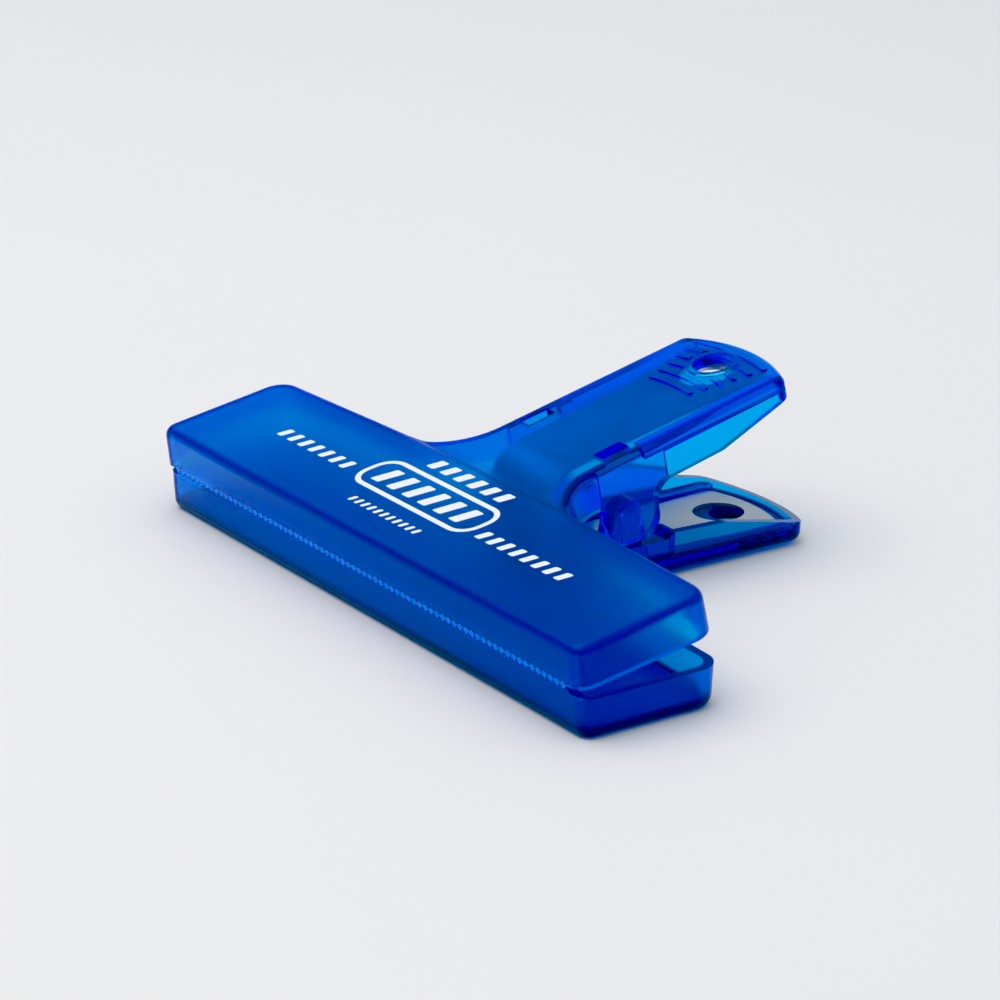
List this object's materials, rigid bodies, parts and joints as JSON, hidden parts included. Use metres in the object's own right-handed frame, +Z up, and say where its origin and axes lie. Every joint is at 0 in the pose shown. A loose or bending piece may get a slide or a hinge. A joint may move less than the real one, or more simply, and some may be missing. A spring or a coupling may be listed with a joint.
{
  "type": "bag clip",
  "caption": "Wide-jaw plastic bag clip: two hinged T-shaped trays with toothed lips, a folded leaf spring between the handles, thumb ribs and hang holes.",
  "frame": {"origin": "centre of the whole clip's footprint, on the surface it lies on", "axes": "+X along the toothed jaw, +Y from the toothed lip towards the handle tips, +Z up from the lower tray to the upper tray"},
  "size_m": [0.1162, 0.0768, 0.0285],
  "materials": {
    "blue_plastic": "translucent, fine satin outside and polished walls",
    "spring_steel": "satin strip"
  },
  "bodies": {
    "lower_half": {"lower_shell": "blue_plastic", "leaf_spring": "spring_steel"},
    "upper_half": {"upper_shell": "blue_plastic"}
  },
  "joints": [
    {"name": "jaw_hinge", "type": "hinge", "parent": "lower_half", "child": "upper_half", "pos_m": [-0.00038, 0.00315, 0.01018], "axis": [-1, 0, 0], "range_deg": [0, 30], "stiffness_Nm_per_rad": 0.6, "springref_deg": -40.11, "deforming": ["leaf_spring"]}
  ]
}
